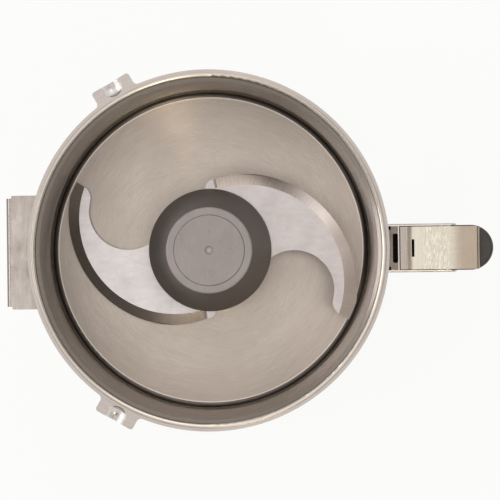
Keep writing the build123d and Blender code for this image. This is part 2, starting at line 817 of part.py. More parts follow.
def latch_lever():
    """See-saw thumb lever: plate, joggled lip over the strike plate, turned-down end and two ears."""
    half = lever_width / 2
    plate = FilletPolyline(
        (lip_near, 0, lip_bottom + lever_sheet),
        (lip_far, 0, lip_bottom + lever_sheet),
        (lip_far + joggle, 0, lever_top),
        (lever_reach, 0, lever_top),
        (lever_reach, 0, lever_top - lever_end_lip),
        (lever_reach - lever_sheet, 0, lever_top - lever_end_lip),
        (lever_reach - lever_sheet, 0, lever_under),
        (window_near + lever_sheet / 2, 0, lever_under),
        (lip_far + lever_sheet / 2, 0, lip_bottom),
        (lip_near, 0, lip_bottom),
        radius=[0, joggle_bend, joggle_bend, lever_bend, 0, 0, lever_bend - lever_sheet, 0, 0, 0],
        close=True,
    )
    lever = extrude(make_face(plate), half, both=True)
    window_far = window_near + lever_window
    lever = lever - block(window_near, window_far, lever_window_length / 2, lip_bottom, lever_top + over)
    for side in (-1, 1):
        lever = lever + lever_ear(side * half, side * (half - lever_sheet))
    return lever - cross_pin(pin_distance, pin_height, pin_radius + running, half)


def lever_ear(outside, inside):
    """Ear of the lever: its foot has a flat that rests on the strap and a slope that stops the push."""
    rest = strap_height + lip_clearance
    rise = ear_half * tan(radians(lever_travel))
    outline = [
        (pin_distance - ear_heel, lever_under),
        (pin_distance - ear_heel, rest),
        (pin_distance, rest),
        (pin_distance + ear_half, rest + rise),
        (pin_distance + ear_half, lever_under),
    ]
    return side_plate(outline, outside, inside)


def lever_pin():
    """Pin through both cheeks, riveted flush."""
    return cross_pin(pin_distance, pin_height, pin_radius, bracket_width / 2)


def bar_between(start, end, radius):
    """A round bar from one point to another."""
    run = Vector(*end) - Vector(*start)
    return Plane(origin=start, z_dir=run) * Pos(0, 0, run.length / 2) * Cylinder(radius, run.length)


def lever_spring():
    """Torsion spring round the pin: a close coil with one leg under the plate and one on the strap."""
    pitch = wire * coil_pitch
    length = pitch * coil_turns
    path = Helix(pitch=pitch, height=length, radius=coil_radius)
    coil = sweep(Plane(path @ 0, z_dir=path % 0) * Circle(wire / 2), path, is_frenet=True)
    coil = Pos(pin_distance, length / 2, pin_height) * Rot(90, 0, 0) * Rot(0, 0, 90 + leg_slope) * coil
    start = polar((pin_distance, pin_height), coil_radius, 90 + leg_slope)
    end = polar((pin_distance, pin_height), coil_radius, -90 - leg_slope)
    rise = (lever_under - wire / 2 - start[1]) / tan(radians(leg_slope))
    fall = (end[1] - strap_height - wire / 2) / tan(radians(leg_slope))
    upper = bar_between(
        (start[0], length / 2, start[1]), (start[0] + rise, length / 2, lever_under - wire / 2), wire / 2
    )
    lower = bar_between(
        (end[0], -length / 2, end[1]), (end[0] + fall, -length / 2, strap_height + wire / 2), wire / 2
    )
    return coil + upper + lower


def handle_strap():
    """Steel strap bent to a C: welded between the cheeks, down through the grip and back to the wall."""
    outer = grip_centre
    inner_bend = strap_bend - strap_sheet
    loop = FilletPolyline(
        (strap_start, 0, strap_height),
        (outer, 0, strap_height),
        (outer, 0, strap_bottom),
        (strap_start, 0, strap_bottom),
        (strap_start, 0, strap_bottom + strap_sheet),
        (outer - strap_sheet, 0, strap_bottom + strap_sheet),
        (outer - strap_sheet, 0, strap_height - strap_sheet),
        (strap_start, 0, strap_height - strap_sheet),
        radius=[0, strap_bend, strap_bend, 0, 0, inner_bend, inner_bend, 0],
        close=True,
    )
    strap = extrude(make_face(loop), strap_width / 2, both=True)
    wide_far = grip_near - over
    wide_leg = block(strap_start, wide_far, cheek_inside, strap_height - strap_sheet, strap_height)
    foot_far = wall_radius + strap_sheet
    foot = block(strap_start, foot_far, strap_width / 2, strap_bottom - strap_foot, strap_bottom)
    strap = strap + wide_leg + foot - bowl_outside()
    return strap - grip_screw_holes(grip_screw_radius)


def grip_screw_holes(radius):
    """Holes along X for the two grip screws."""
    bar = Rot(0, 90, 0) * Pos(0, 0, grip_screw_length / 2) * Cylinder(radius, grip_screw_length)
    return [Pos(grip_near, 0, height) * bar for height in grip_screw_heights]


def grip_screw(height):
    """Countersunk screw from the finger side through the inner half and the strap."""
    screw = turned(
        (0, 0),
        (grip_screw_head_radius, 0),
        (grip_screw_radius, grip_screw_head),
        (grip_screw_radius, grip_screw_length),
        (0, grip_screw_length),
    )
    socket = extrude(RegularPolygon(grip_socket_radius, 6), grip_socket)
    return Pos(grip_near, 0, height) * Rot(0, 90, 0) * (screw - socket)


def grip_screws():
    """Both grip screws."""
    return [grip_screw(height) for height in grip_screw_heights]


def grip_body():
    """Whole grip: D in plan, rounded ends, a channel for the strap and rebates for lever and cheeks."""
    near_side = Pos(grip_near + grip_depth / 2, 0) * Rectangle(grip_depth, 2 * grip_radius)
    plan = near_side + Pos(grip_centre, 0) * Circle(grip_radius)
    near_corners = plan.vertices().sort_by(Axis.X)[:2]
    plan = fillet(near_corners, grip_edge)
    body = extrude(Pos(0, 0, grip_bottom) * plan, grip_top - grip_bottom)
    ends = body.edges().group_by(Axis.Z)
    body = fillet(ends[0] + ends[-1], grip_end_edge)
    body = body - block(0, grip_step, grip_radius + over, strap_height, grip_top + over)
    rebate = block(0, cheek_reach + seat, bracket_sheet, cheek_bottom - seat, grip_top + over)
    rebate_side = cheek_inside + bracket_sheet - seat
    body = body - Pos(0, rebate_side, 0) * rebate - Pos(0, -rebate_side, 0) * rebate
    return body - handle_strap() - grip_screws()


def grip_half(inner):
    """One half of the grip, parted at the middle of the strap."""
    reach = grip_centre + grip_radius + over
    if inner:
        return grip_body() & block(0, strap_middle, reach, 0, rim_height)
    return grip_body() & block(strap_middle, reach, reach, 0, rim_height)


# ---- Write every piece ------------------------------------------------------------------------------

pieces = {
    "bowl_shell": bowl_shell(),
    "rim_ring": rim_ring(),
    "base_ring": base_ring(),
    "chimney_tube": chimney_tube(),
    "lower_bearing": bearing(lower_bearing_bottom),
    "upper_bearing": bearing(upper_bearing_bottom),
    "bearing_spacer": bearing_spacer(),
    "bearing_circlip": bearing_circlip(),
    "lip_seal": lip_seal(),
    "spindle": spindle(),
    "drive_dog": drive_dog(),
    "dog_pin": dog_pin(),
    "blade_clamp_ring": Rot(0, 0, rotor_turn) * blade_clamp_ring(),
    "blade_carrier": Rot(0, 0, rotor_turn) * blade_carrier(),
    "blade_spacer": Rot(0, 0, rotor_turn) * blade_spacer(),
    "upper_blade": blade(upper_blade_bottom, rotor_turn, edge_centre, edge_radius, sweep_radius),
    "lower_blade": blade(
        lower_blade_bottom,
        rotor_turn + lower_blade_turn,
        lower_edge_centre,
        lower_edge_radius,
        lower_sweep_radius,
    ),
    "blade_screws": [Rot(0, 0, rotor_turn) * screw for screw in blade_screws()],
    "rotor_hub": Rot(0, 0, rotor_turn) * rotor_hub(),
    "hub_cap": hub_cap(),
    "hub_seal": hub_seal(),
    "drive_bush": drive_bush(),
    "helper_handle": helper_handle(),
    "handle_bracket": handle_bracket(),
    "latch_lever": latch_lever(),
    "lever_pin": lever_pin(),
    "lever_spring": lever_spring(),
    "handle_strap": handle_strap(),
    "grip_inner": grip_half(inner=True),
    "grip_outer": grip_half(inner=False),
    "grip_screws": grip_screws(),
}

os.makedirs("parts", exist_ok=True)
for name, shape in pieces.items():
    export_step(Compound(shape) if isinstance(shape, list) else shape, f"parts/{name}.step")
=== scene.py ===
from math import asin, cos, degrees, pi, radians, sin, tan

import bmesh
import bpy
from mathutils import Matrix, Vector


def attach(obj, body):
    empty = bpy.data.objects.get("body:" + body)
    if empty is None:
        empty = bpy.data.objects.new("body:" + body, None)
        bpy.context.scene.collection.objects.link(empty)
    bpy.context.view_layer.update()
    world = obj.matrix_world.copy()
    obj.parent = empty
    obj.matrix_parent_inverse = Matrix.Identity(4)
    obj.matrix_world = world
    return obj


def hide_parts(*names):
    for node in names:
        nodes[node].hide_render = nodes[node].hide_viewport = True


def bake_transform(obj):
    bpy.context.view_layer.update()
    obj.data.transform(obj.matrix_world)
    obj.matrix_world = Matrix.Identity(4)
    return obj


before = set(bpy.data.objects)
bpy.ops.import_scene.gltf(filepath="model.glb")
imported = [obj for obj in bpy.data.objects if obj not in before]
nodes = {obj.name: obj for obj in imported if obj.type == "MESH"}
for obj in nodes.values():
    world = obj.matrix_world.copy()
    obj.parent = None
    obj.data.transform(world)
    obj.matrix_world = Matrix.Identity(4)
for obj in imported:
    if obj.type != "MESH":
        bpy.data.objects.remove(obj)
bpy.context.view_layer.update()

# Places that the looks refer to, in metres and degrees, in the CAD frame. Z is the bowl's axis, and +X points
# to the handle. A fade is a pair: where a finish starts and where it is full.

# Bowl
WALL_OUTSIDE = 0.1144              # radius
NECK_FOOT = 0.14908                # height at which the wall steps out to the neck
NECK_STEP = 0.0023                 # how far it rises there, and how far out it goes

# Bowl's painted light and shade: fades
FLOOR_GLINT = (0.1074, 0.1077)     # radius, painted highlight where the floor turns into its fillet
BAND_EDGE = (0.1081, 0.1084)       # radius, painted dark reflection on the fillet
BAND_FOOT = (0.0175, 0.0179)       # heights of that line and that band
BAND_TOP = (0.0201, 0.0198)
FOOT_LOW = (0.0198, 0.0202)        # heights of the painted light on the foot of the wall
FOOT_TOP = (0.0255, 0.0235)
WALL_LOW = (0.0235, 0.0255)        # painted shade on the wall proper starts above its foot
EAST = (0.045, 0.100)              # along X, painted light on the wall's east side
EAST_TOP = (0.148, 0.136)
BEND_INSIDE = (0.1151, 0.1153)     # radius, painted highlight on the bead's bend into its flat top
BEND_OUTSIDE = (0.1172, 0.1168)
BEND_HEIGHT = (0.1556, 0.1562)

# Painted reflection in the grooves of the rim ring's lugs: fades by radius, and by how far a face points up
LUG_FOOT = (0.1215, 0.1219)
LUG_LEVEL = (0.985, 0.93)
LUG_UPRIGHT = (0.03, 0.08)

# Lever, along X
LIP_FAR = 0.1315                   # its lip ends and its joggle starts
JOGGLE_FAR = 0.1352

# Lever's thumb wear and painted shade: fades along X
THUMB_NEAR = (0.140, 0.146)        # between these two, thumbs polish it
THUMB_FAR = (0.166, 0.156)
LEVER_END = (0.160, 0.171)         # painted shade on its outer end

# Bracket and strap, painted shade: fades
SLOT_FAR = (0.1261, 0.1259)        # along X, painted shade on the strike plate up to the end of its slot
PLATE_SIDE = (0.0149, 0.0143)      # from the middle plane
PLATE_UNDER = (0.15395, 0.1538)    # height under which it has painted shade all over, between the cheeks
CHEEK_INSIDE = (0.01475, 0.0147)   # from the middle plane
STRAP_SHADE_LOW = (0.1345, 0.1350)       # the strap's near-black painted shade, above this height
STRAP_SHADE_FAR = (0.160, 0.158)         # along X

# Painted shade on the helper plate's bend: fades by how far a face points up
HELPER_LEVEL = (0.985, 0.90)
HELPER_UPRIGHT = (0.01, 0.05)

# Blades, in plan about the rotor's axis
ROTOR_TURN = -0.8
UPPER_EDGE = ((0.0215, -0.0270), 0.0807)    # centre and radius of the cutting edge
LOWER_EDGE = ((0.0225, -0.0246), 0.0783)
UPPER_HEEL = (0.0027, 0.0491)      # X and Y of the mouth of the relief cut at the heel
LOWER_HEEL = (0.0027, 0.0486)
RELIEF_SLANT = 13.0                # off Y

# Blades' painted dark reflection and painted shade: fades
EDGE_DARK_DEPTH = (0.0011, 0.0007)      # from the edge inwards, painted dark reflection
EDGE_DARK_END = (0.021, 0.008)          # towards the heel, along X from the edge's centre
RELIEF_SIDE = (0.00085, 0.0006)    # from the cut's middle line
RELIEF_MOUTH = (-0.0008, -0.0004)  # along the cut, into the blade
RELIEF_ROOT = (0.0060, 0.0056)

# Painted shade and highlight at the hub cap's dimple: fades by radius
DIMPLE_MIDDLE = (0.0012, 0.0006)
DIMPLE_LIP_INSIDE = (0.0019, 0.0023)
DIMPLE_LIP_OUTSIDE = (0.0031, 0.0027)

# Weld beads
BEAD_STEP = 0.00035                # between the rings of a bead
BEAD_PITCH = 0.0016                # from ripple to ripple
BEAD_RIPPLE = 0.16                 # how much a ripple swells it
BEAD_DRIFT = 0.05                  # how much it swells and thins over a longer run
BEAD_DRIFT_TURN = 0.071            # radians of that drift per ring
BEAD_TAPER = (0.45, 0.2)           # size of an open bead's end, and what each ring adds to it
BEAD_SIDES = 10
BEAD_OFF_WALL = 0.0003             # a bead's middle line stands this far off the wall
HELPER_HALF = 0.037                # half the helper plate's welded width
HELPER_TOP = 0.1472
HELPER_UNDER = 0.1448
CHEEK_SIDE = 0.0164                # from the middle plane
CHEEK_HEIGHTS = (0.1345, 0.1490, 0.1514, 0.1538)
FOOT_SIDE = 0.0102                 # of the strap's foot on the wall
FOOT_HEIGHTS = (0.0330, 0.0500)
FOOT_UNDER = 0.0323
STRAP_SIDE = 0.0147                # the strap's seams with the cheeks
STRAP_RUN = (0.1180, 0.1500)       # along X
STRAP_UNDER = 0.1340
BASE_OUTER = (0.0704, 0.0168)      # radius and height of a seam round the axis
BASE_INNER = (0.0656, 0.0169)
CHIMNEY_FOOT = (0.0264, 0.0175)
RIM_UNDER = (0.1169, 0.1543)

# Lever's spring
PIN = (0.156, 0.145)               # the lever's hinge, along X and height
COIL_RADIUS = 0.0040               # round that pin, to the middle of the wire
COIL_TURNS = 4 + 1 / 3
COIL_STEPS = 140
COIL_HALF = 0.00299                # half its length
WIRE = 0.0006                      # radius
WIRE_SIDES = 12
LEG_SLOPE = 30.0                   # of the spring's legs, from level
LEG_STEPS = 24
LEVER_UNDER = 0.1595               # heights that the legs rest against
STRAP_TOP = 0.1370

# Brushing round Z
AXIS_RADIUS = 0.0005               # it crowds no further nearer the axis than this
HEIGHT_PACE = 1.37                 # how much faster it changes with height than with radius

# Brushing in one direction: noise scales along X, Y and Z
ALONG_X = (110, 5200, 5200)
ALONG_Y = (5200, 110, 5200)

# Plastic of the hub and its cap: fresh and worn
HUB_FRESH = (0.375, 0.333, 0.32)
HUB_WORN = (0.42, 0.38, 0.368)


# ---- Node helpers -----------------------------------------------------------------------------------

class Graph:
    """The node tree of a material or a world, with short calls for the nodes used here."""

    def __init__(self, owner):
        owner.use_nodes = True
        self.owner = owner
        self.tree = owner.node_tree
        self.shader = self.tree.nodes.get("Principled BSDF")

    def add(self, kind, **settings):
        node = self.tree.nodes.new(kind)
        for key, value in settings.items():
            setattr(node, key, value)
        return node

    def feed(self, socket, value):
        if isinstance(value, bpy.types.NodeSocket):
            self.tree.links.new(value, socket)
        else:
            socket.default_value = value

    def fill(self, node, *values):
        """Feeds a node's first inputs and returns its first output."""
        for socket, value in zip(node.inputs, values):
            self.feed(socket, value)
        return node.outputs[0]

    def set(self, **inputs):
        """Feeds inputs of the material's shader, named with _ for a space."""
        for name, value in inputs.items():
            self.feed(self.shader.inputs[name.replace("_", " ")], value)

    def math(self, operation, a, b=0.0):
        return self.fill(self.add("ShaderNodeMath", operation=operation), a, b)

    def plus(self, a, b):
        return self.math("ADD", a, b)

    def minus(self, a, b):
        return self.math("SUBTRACT", a, b)

    def times(self, a, b):
        return self.math("MULTIPLY", a, b)

    def absolute(self, value):
        return self.math("ABSOLUTE", value)

    def share(self, first, second, part=0.5):
        """A part of the first value and the rest of the second."""
        return self.plus(self.times(first, part), self.times(second, 1 - part))

    def stretch(self, value, low, high, to_low=0.0, to_high=1.0, smooth=False):
        """Maps low to high onto to_low to to_high, and holds these beyond them."""
        curve = "SMOOTHSTEP" if smooth else "LINEAR"
        node = self.add("ShaderNodeMapRange", clamp=True, interpolation_type=curve)
        return self.fill(node, value, low, high, to_low, to_high)

    def between(self, value, rise, fall, smooth=False):
        """1 between two fades of a value, 0 outside them."""
        return self.times(self.stretch(value, *rise, smooth=smooth),
                          self.stretch(value, *fall, smooth=smooth))

    def place(self):
        return self.add("ShaderNodeTexCoord").outputs["Object"]

    def split(self, vector):
        node = self.add("ShaderNodeSeparateXYZ")
        self.feed(node.inputs[0], vector)
        return node.outputs[0], node.outputs[1], node.outputs[2]

    def join(self, x, y, z):
        return self.fill(self.add("ShaderNodeCombineXYZ"), x, y, z)

    def radius(self, x, y):
        return self.math("SQRT", self.plus(self.times(x, x), self.times(y, y)))

    def scaled(self, vector, x, y, z):
        return self.fill(self.add("ShaderNodeVectorMath", operation="MULTIPLY"), vector, (x, y, z))

    def circular(self, vector, across, along):
        """Coordinates that change quickly with radius and height and slowly round Z."""
        x, y, z = self.split(vector)
        r = self.math("MAXIMUM", self.radius(x, y), AXIS_RADIUS)
        turn_x = self.times(self.math("DIVIDE", x, r), along)
        turn_y = self.times(self.math("DIVIDE", y, r), along)
        run = self.times(self.plus(r, self.times(z, HEIGHT_PACE)), across)
        return self.join(turn_x, turn_y, run)

    def noise(self, vector, scale=1.0, detail=4.0, roughness=0.5):
        node = self.add("ShaderNodeTexNoise")
        self.feed(node.inputs["Vector"], vector)
        node.inputs["Scale"].default_value = scale
        node.inputs["Detail"].default_value = detail
        node.inputs["Roughness"].default_value = roughness
        return node.outputs[0]

    def bump(self, height, strength, distance):
        node = self.add("ShaderNodeBump")
        node.inputs["Strength"].default_value = strength
        node.inputs["Distance"].default_value = distance
        self.feed(node.inputs["Height"], height)
        return node.outputs[0]

    def mix(self, share, first, second):
        node = self.add("ShaderNodeMix", data_type="RGBA")
        self.feed(node.inputs[0], share)
        self.feed(node.inputs[6], colour(first))
        self.feed(node.inputs[7], colour(second))
        return node.outputs[2]

    def over(self, base, mask, strength, tint):
        """Lays a colour over base where the mask is, at most as strongly as strength says."""
        return self.mix(self.times(mask, strength), base, tint)

    def mix_shader(self, share, first, second):
        return self.fill(self.add("ShaderNodeMixShader"), share, first, second)

    def normal(self):
        """X, Y and Z of the surface's own normal, without bump."""
        return self.split(self.add("ShaderNodeNewGeometry").outputs["Normal"])

    def facing(self):
        """How far the surface points up, from -1 to 1."""
        return self.normal()[2]

    def inward(self, x, y):
        """How far the surface points at the Z axis, from -1 to 1."""
        normal_x, normal_y = self.normal()[:2]
        away = self.plus(self.times(normal_x, x), self.times(normal_y, y))
        return self.math("DIVIDE", self.times(away, -1.0), self.radius(x, y))


def colour(value):
    """A socket as it is, or an RGB colour with its alpha."""
    if isinstance(value, bpy.types.NodeSocket):
        return value
    return (*value, 1.0)


# ---- Materials --------------------------------------------------------------------------------------

def round_brushed(name, light, dark, rough, spread, anisotropy, lines, dress=None):
    """Steel brushed round the bowl's axis, with worn paler and darker patches.

    dress(graph, place, base) lays a piece's painted light, shade and reflection over the base colour. It
    returns the colour and how much rougher the steel is there.
    """
    g = Graph(bpy.data.materials.new(name))
    place = g.place()
    fine = g.noise(g.circular(place, across=7000, along=16), detail=3)
    line = g.noise(g.circular(place, across=1500, along=9), detail=4)
    sweep = g.noise(g.circular(place, across=160, along=2.2), detail=3)
    cloud = g.noise(place, scale=38, detail=3)
    tone = g.plus(g.times(line, 0.55), g.plus(g.times(sweep, 0.25), g.times(cloud, 0.2)))
    base = g.mix(g.stretch(tone, 0.36, 0.66), dark, light)
    base, rougher = dress(g, place, base) if dress else (base, 0.0)
    gloss = g.stretch(g.share(fine, cloud, 0.6), 0.35, 0.65, rough - spread, rough + spread)
    g.set(
        Metallic=1.0,
        Anisotropic=anisotropy,
        Anisotropic_Rotation=0.25,
        Base_Color=base,
        Roughness=g.plus(rougher, gloss),
        Tangent=g.add("ShaderNodeTangent", direction_type="RADIAL", axis="Z").outputs[0],
        Normal=g.bump(g.plus(fine, line), lines, 0.00002),
    )
    return g.owner


def bowl_painted_light_and_shade(g, place, base):
    """Painted highlights, shade and dark reflection: at the floor's edge, on the wall's foot and sides, on
    the bead's bend.
    """
    x, y, z = g.split(place)
    r = g.radius(x, y)
    fillet = g.between(z, BAND_FOOT, BAND_TOP)
    # Painted highlight: a bright line where the floor turns into its fillet
    base = g.over(base, g.times(g.stretch(r, *FLOOR_GLINT), fillet), 0.7, (0.80, 0.74, 0.68))
    # Painted dark reflection on the fillet. With no test for inside, it also darkens a strip on the outside
    # of the bowl's bottom curve
    base = g.over(base, g.times(g.stretch(r, *BAND_EDGE), fillet), 0.96, (0.110, 0.092, 0.080))
    inner = g.stretch(g.inward(x, y), 0.05, 0.2)
    # Painted light on the foot of the wall, inside the bowl
    foot = g.times(inner, g.between(z, FOOT_LOW, FOOT_TOP))
    base = g.over(base, foot, 0.75, (0.84, 0.75, 0.67))
    # Painted shade on the inner wall, except on its east side
    wall = g.times(inner, g.stretch(z, *WALL_LOW))
    east = g.stretch(x, *EAST, smooth=True)
    base = g.over(base, g.times(wall, g.minus(1.0, east)), 0.85, (0.350, 0.302, 0.262))
    # Painted light on the wall's east side, up to near its top
    bright = g.times(g.times(wall, east), g.stretch(z, *EAST_TOP))
    base = g.over(base, bright, 0.8, (0.90, 0.84, 0.80))
    # Painted highlight on the bead's bend into its flat top
    bend = g.times(g.between(r, BEND_INSIDE, BEND_OUTSIDE), g.stretch(z, *BEND_HEIGHT))
    return g.over(base, bend, 0.5, (0.95, 0.89, 0.80)), 0.0


def lug_glint_and_roughness(g, place, base):
    """The grooves pressed into the ring's lugs: painted reflection on their slopes, and rougher steel."""
    x, y = g.split(place)[:2]
    up = g.facing()
    # Painted reflection on the groove's slopes, which are also rougher
    groove = g.times(g.times(g.stretch(up, *LUG_LEVEL), g.stretch(up, *LUG_UPRIGHT)),
                     g.stretch(g.radius(x, y), *LUG_FOOT))
    return g.over(base, groove, 0.85, (0.93, 0.90, 0.885)), g.times(groove, 0.22)


def straight_brushed(name, light, dark, rough, lines, scales):
    """Steel brushed in one direction, with smudges and fine scratches. Returns the graph and its colour."""
    g = Graph(bpy.data.materials.new(name))
    place = g.place()
    fine = g.noise(g.scaled(place, *scales), detail=4)
    streak = g.noise(g.scaled(place, *[value / 5 for value in scales]), detail=4, roughness=0.6)
    cloud = g.noise(place, scale=85, detail=4)
    base = g.mix(g.stretch(g.share(streak, cloud), 0.36, 0.64), dark, light)
    g.set(
        Metallic=1.0,
        Base_Color=base,
        Roughness=g.stretch(g.share(fine, cloud), 0.35, 0.65, rough - 0.06, rough + 0.06),
        Normal=g.bump(g.plus(fine, streak), lines, 0.00003),
    )
    return g, base


def lever_steel():
    """The thumb lever: warm and polished where thumbs rub it, with painted shade on its lip, joggle and outer
    end.
    """
    g, base = straight_brushed("lever_steel", light=(0.70, 0.655, 0.565), dark=(0.62, 0.57, 0.475),
                               rough=0.30, lines=0.16, scales=ALONG_Y)
    place = g.place()
    x = g.split(place)[0]
    chatter = g.noise(g.scaled(place, 1300, 260, 400), detail=4, roughness=0.6)
    thumb = g.between(x, THUMB_NEAR, THUMB_FAR, smooth=True)
    base = g.over(base, g.times(g.stretch(chatter, 0.50, 0.62), thumb), 0.75, (0.86, 0.835, 0.70))
    base = g.over(base, g.times(g.stretch(chatter, 0.50, 0.38), thumb), 0.45, (0.52, 0.46, 0.375))
    # Painted shade on the outer end, with a wavy border
    wobble = g.times(g.noise(g.scaled(place, 60, 700, 60), detail=4), 0.004)
    base = g.mix(g.stretch(g.plus(x, wobble), *LEVER_END, smooth=True), base, (0.435, 0.36, 0.285))
    # Painted shade on the joggle, and then on the lip
    base = g.mix(g.stretch(x, JOGGLE_FAR, JOGGLE_FAR - 0.0003), base, (0.30, 0.262, 0.215))
    base = g.mix(g.stretch(x, LIP_FAR, LIP_FAR - 0.0006, smooth=True), base, (0.42, 0.375, 0.34))
    g.set(Base_Color=base)
    return g.owner


def bracket_steel():
    """The bracket: painted shade up to its slot's end and under the plate, but not on the land that the peg
    crosses.
    """
    rough = 0.30
    g, base = straight_brushed("bracket_steel", light=(0.62, 0.575, 0.535), dark=(0.50, 0.455, 0.415),
                               rough=rough, lines=0.12, scales=ALONG_X)
    place = g.place()
    x, y, z = g.split(place)
    side = g.absolute(y)
    # Painted shade: the strike plate up to its slot's end, and all faces under the plate between the cheeks
    dull = g.mix(g.stretch(g.noise(place, scale=260, detail=5), 0.35, 0.65),
                 (0.20, 0.17, 0.148), (0.28, 0.245, 0.215))
    before_slot_end = g.times(g.stretch(side, *PLATE_SIDE), g.stretch(x, *SLOT_FAR))
    underneath = g.times(g.stretch(z, *PLATE_UNDER), g.stretch(side, *CHEEK_INSIDE))
    in_painted_shade = g.math("MAXIMUM", before_slot_end, underneath)
    g.set(Base_Color=g.mix(in_painted_shade, base, dull), Roughness=g.plus(rough, g.times(in_painted_shade, 0.14)))
    return g.owner


def helper_steel():
    """The helper plate: brushed, mottled by handling, with painted shade round its bend."""
    g, base = straight_brushed("helper_steel", light=(0.47, 0.43, 0.395), dark=(0.40, 0.355, 0.32),
                               rough=0.33, lines=0.12, scales=ALONG_Y)
    marks = g.noise(g.scaled(g.place(), 120, 60, 90), detail=5, roughness=0.62)
    base = g.over(base, g.stretch(marks, 0.50, 0.64), 0.55, (0.30, 0.25, 0.21))
    base = g.over(base, g.stretch(marks, 0.46, 0.34), 0.5, (0.58, 0.535, 0.50))
    # Painted shade round the bend, on faces between level and upright
    up = g.facing()
    bend = g.times(g.stretch(up, *HELPER_LEVEL), g.stretch(up, *HELPER_UPRIGHT))
    g.set(Base_Color=g.over(base, bend, 0.8, (0.20, 0.175, 0.165)))
    return g.owner


def strap_steel():
    """The strap: brushed outside, with near-black painted shade between the bracket's cheeks."""
    rough = 0.34
    g, base = straight_brushed("strap_steel", light=(0.58, 0.53, 0.485), dark=(0.47, 0.425, 0.38),
                               rough=rough, lines=0.12, scales=ALONG_Y)
    place = g.place()
    x, _, z = g.split(place)
    # Near-black painted shade on the strap between the bracket's cheeks, under the slot
    scale = g.mix(g.stretch(g.noise(place, scale=400, detail=5), 0.35, 0.65),
                  (0.020, 0.018, 0.016), (0.045, 0.040, 0.035))
    strap_in_shade = g.times(g.stretch(z, *STRAP_SHADE_LOW), g.stretch(x, *STRAP_SHADE_FAR))
    g.set(Base_Color=g.mix(strap_in_shade, base, scale), Roughness=g.plus(rough, g.times(strap_in_shade, 0.3)))
    return g.owner


def blade_steel(name, edge, heel, turn, dull, bright, polish_and_glint):
    """Ground blade: satin flats, a bevel with grinding lines across it, painted dark reflection near the heel
    of its edge.

    polish_and_glint holds stops along the bevel: a direction round the edge's centre in degrees, and the
    share of the bright colour there, partly polish and partly painted reflection.
    """
    g = Graph(bpy.data.materials.new(name))
    x, y, z = g.split(g.place())
    c, s = cos(radians(turn)), sin(radians(turn))
    own_x = g.plus(g.times(x, c), g.times(y, s))
    own_y = g.minus(g.times(y, c), g.times(x, s))
    own = g.join(own_x, own_y, z)
    fine = g.noise(g.scaled(own, 4200, 160, 300), detail=3)
    cloud = g.noise(own, scale=75, detail=4)
    smear = g.noise(g.scaled(own, 130, 330, 100), detail=5, roughness=0.6)
    flat = g.mix(g.stretch(g.share(cloud, smear), 0.36, 0.62), dull, bright)

    (centre_x, centre_y), radius = edge
    edge_x = g.minus(own_x, centre_x)
    edge_y = g.minus(own_y, centre_y)
    grinding = g.noise(g.circular(g.join(edge_x, edge_y, z), across=18, along=95), detail=3, roughness=0.55)
    about = g.times(g.math("ARCTAN2", edge_y, edge_x), 180 / pi)
    # Painted reflection and polish along the bevel, from the stops, with the grinding lines
    shine = polish_and_glint[0][1]
    for (start, low), (end, high) in zip(polish_and_glint, polish_and_glint[1:]):
        shine = g.plus(shine, g.times(g.stretch(about, start, end, smooth=True), high - low))
    shine = g.plus(shine, g.times(g.minus(grinding, 0.5), 0.22))
    ground = g.mix(shine, (0.195, 0.145, 0.108), (0.96, 0.92, 0.90))
    # Painted dark reflection along the edge, towards the heel
    deep, full = EDGE_DARK_DEPTH
    edge_dark = g.times(g.stretch(g.radius(edge_x, edge_y), radius - deep, radius - full, smooth=True),
                    g.stretch(edge_x, *EDGE_DARK_END, smooth=True))
    ground = g.over(ground, edge_dark, 0.93, (0.06, 0.05, 0.043))
    bevel = g.stretch(g.facing(), 0.9985, 0.995)
    base = g.mix(bevel, flat, ground)

    heel_x, heel_y = heel
    slant = radians(RELIEF_SLANT)
    mouth_x = g.minus(own_x, heel_x)
    mouth_y = g.minus(own_y, heel_y)
    sideways = g.plus(g.times(mouth_x, cos(slant)), g.times(mouth_y, sin(slant)))
    inward = g.minus(g.times(mouth_x, sin(slant)), g.times(mouth_y, cos(slant)))
    # Painted shade along the relief cut at the heel
    cut = g.times(g.stretch(g.absolute(sideways), *RELIEF_SIDE), g.between(inward, RELIEF_MOUTH, RELIEF_ROOT))
    g.set(
        Metallic=1.0,
        Base_Color=g.over(base, cut, 0.9, (0.07, 0.06, 0.052)),
        Roughness=g.minus(g.stretch(fine, 0.3, 0.7, 0.27, 0.34), g.times(bevel, 0.08)),
        Normal=g.bump(g.plus(g.times(fine, 0.5), g.times(grinding, bevel)), 0.05, 0.00002),
    )
    return g.owner


